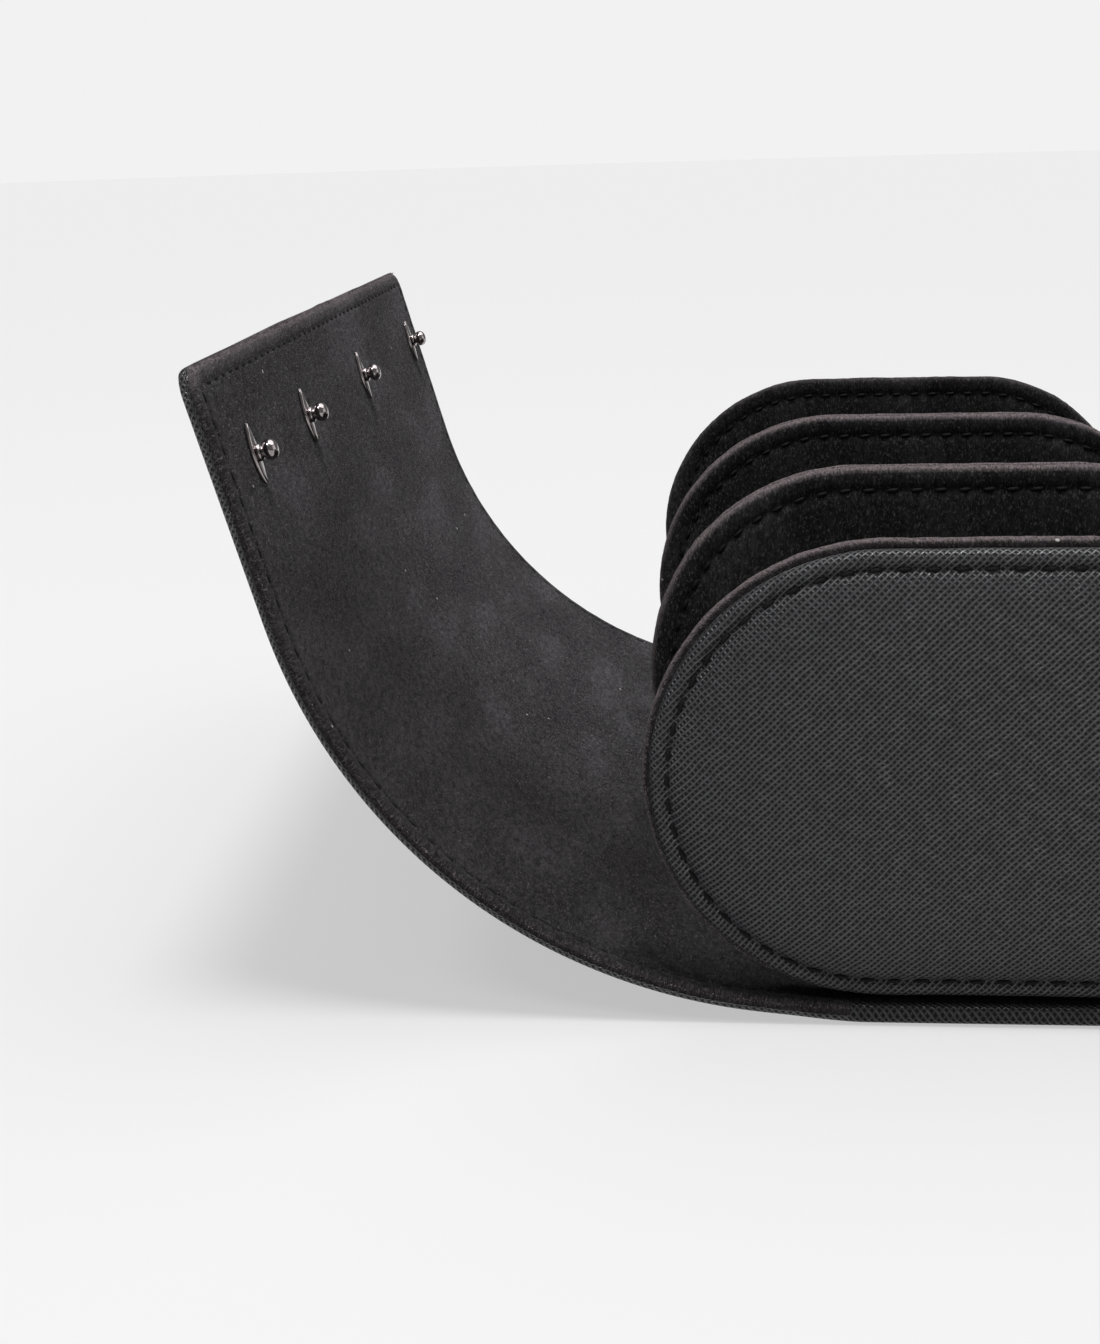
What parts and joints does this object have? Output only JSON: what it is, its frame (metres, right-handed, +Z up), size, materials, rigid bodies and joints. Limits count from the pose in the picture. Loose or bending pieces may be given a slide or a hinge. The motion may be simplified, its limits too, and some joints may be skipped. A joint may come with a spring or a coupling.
{
  "type": "jewelry box",
  "caption": "Suede-lined leather jewelry box that unrolls: upright stadium panels on a base strip form open compartments, closed by two wrap-over flaps, one carrying necklace hooks.",
  "frame": {"origin": "centre of the base strip's underside, under the middle of the panels", "axes": "+X along the roll-out, towards the plain flap; +Y from the front panel to the rear panel; +Z up from the table"},
  "size_m": [0.3072, 0.219, 0.1334],
  "materials": {
    "leather": "cross-grained black leather, semi-matt",
    "suede": "short-napped charcoal microsuede",
    "board": "plain greyboard",
    "thread": "black polyester thread",
    "steel": "polished nickel plate"
  },
  "bodies": {
    "box": {"base_cover": "leather", "base_board": "board", "base_lining": "suede", "front_panel_cover": "leather", "front_panel_board": "board", "front_panel_lining": "suede", "front_panel_stitching": "thread", "front_divider_cover": "suede", "front_divider_board": "board", "front_divider_lining": "suede", "front_divider_stitching": "thread", "rear_divider_cover": "suede", "rear_divider_board": "board", "rear_divider_lining": "suede", "rear_divider_stitching": "thread", "rear_panel_cover": "leather", "rear_panel_board": "board", "rear_panel_lining": "suede", "rear_panel_stitching": "thread"},
    "left_strip_1": {"left_flap_cover_1": "leather", "left_flap_lining_1": "suede"},
    "left_strip_2": {"left_flap_cover_2": "leather", "left_flap_lining_2": "suede"},
    "left_strip_3": {"left_flap_cover_3": "leather", "left_flap_lining_3": "suede"},
    "left_strip_4": {"left_flap_cover_4": "leather", "left_flap_lining_4": "suede"},
    "left_strip_5": {"left_flap_cover_5": "leather", "left_flap_lining_5": "suede"},
    "left_end": {"left_end_cover": "leather", "left_end_board": "board", "left_end_lining": "suede", "left_end_stitching": "thread", "hook_plates": "steel", "hook_knobs": "steel", "hook_rivets": "steel", "snap_studs": "steel", "snap_posts": "steel"},
    "right_strip_1": {"right_flap_cover_1": "leather", "right_flap_lining_1": "suede"},
    "right_strip_2": {"right_flap_cover_2": "leather", "right_flap_lining_2": "suede"},
    "right_strip_3": {"right_flap_cover_3": "leather", "right_flap_lining_3": "suede"},
    "right_strip_4": {"right_flap_cover_4": "leather", "right_flap_lining_4": "suede"},
    "right_strip_5": {"right_flap_cover_5": "leather", "right_flap_lining_5": "suede"},
    "right_end": {"right_end_cover": "leather", "right_end_board": "board", "right_end_lining": "suede", "right_end_stitching": "thread", "snap_caps": "steel", "snap_sockets": "steel"}
  },
  "joints": [
    {"name": "left_fold", "type": "hinge", "parent": "box", "child": "left_strip_1", "pos_m": [-0.03522, 0, 0.004], "axis": [0, 1, 0], "range_deg": [-7, 23]},
    {"name": "left_curl_1", "type": "hinge", "parent": "left_strip_1", "child": "left_strip_2", "pos_m": [-0.05947, 0, 0.00698], "axis": [0, 1, 0], "range_deg": [-13.5, 16.5]},
    {"name": "left_curl_2", "type": "hinge", "parent": "left_strip_2", "child": "left_strip_3", "pos_m": [-0.08236, 0, 0.01554], "axis": [0, 1, 0], "range_deg": [-13.5, 16.5]},
    {"name": "left_curl_3", "type": "hinge", "parent": "left_strip_3", "child": "left_strip_4", "pos_m": [-0.10262, 0, 0.0292], "axis": [0, 1, 0], "range_deg": [-13.5, 16.5]},
    {"name": "left_curl_4", "type": "hinge", "parent": "left_strip_4", "child": "left_strip_5", "pos_m": [-0.11913, 0, 0.04722], "axis": [0, 1, 0], "range_deg": [-13.5, 16.5]},
    {"name": "left_curl_5", "type": "hinge", "parent": "left_strip_5", "child": "left_end", "pos_m": [-0.13098, 0, 0.06859], "axis": [0, 1, 0], "range_deg": [-13.5, 16.5]},
    {"name": "right_fold", "type": "hinge", "parent": "box", "child": "right_strip_1", "pos_m": [0.03581, 0, 0.004], "axis": [0, -1, 0], "range_deg": [-7, 23]},
    {"name": "right_curl_1", "type": "hinge", "parent": "right_strip_1", "child": "right_strip_2", "pos_m": [0.06123, 0, 0.00712], "axis": [0, -1, 0], "range_deg": [-13.5, 16.5]},
    {"name": "right_curl_2", "type": "hinge", "parent": "right_strip_2", "child": "right_strip_3", "pos_m": [0.08523, 0, 0.01609], "axis": [0, -1, 0], "range_deg": [-13.5, 16.5]},
    {"name": "right_curl_3", "type": "hinge", "parent": "right_strip_3", "child": "right_strip_4", "pos_m": [0.10646, 0, 0.03042], "axis": [0, -1, 0], "range_deg": [-13.5, 16.5]},
    {"name": "right_curl_4", "type": "hinge", "parent": "right_strip_4", "child": "right_strip_5", "pos_m": [0.12377, 0, 0.0493], "axis": [0, -1, 0], "range_deg": [-13.5, 16.5]},
    {"name": "right_curl_5", "type": "hinge", "parent": "right_strip_5", "child": "right_end", "pos_m": [0.13619, 0, 0.07171], "axis": [0, -1, 0], "range_deg": [-13.5, 16.5]}
  ],
  "couplings": [
    {"joint": "left_curl_2", "follows": "left_curl_1", "ratio": 1},
    {"joint": "left_curl_3", "follows": "left_curl_1", "ratio": 1},
    {"joint": "left_curl_4", "follows": "left_curl_1", "ratio": 1},
    {"joint": "left_curl_5", "follows": "left_curl_1", "ratio": 1},
    {"joint": "right_curl_2", "follows": "right_curl_1", "ratio": 1},
    {"joint": "right_curl_3", "follows": "right_curl_1", "ratio": 1},
    {"joint": "right_curl_4", "follows": "right_curl_1", "ratio": 1},
    {"joint": "right_curl_5", "follows": "right_curl_1", "ratio": 1}
  ]
}
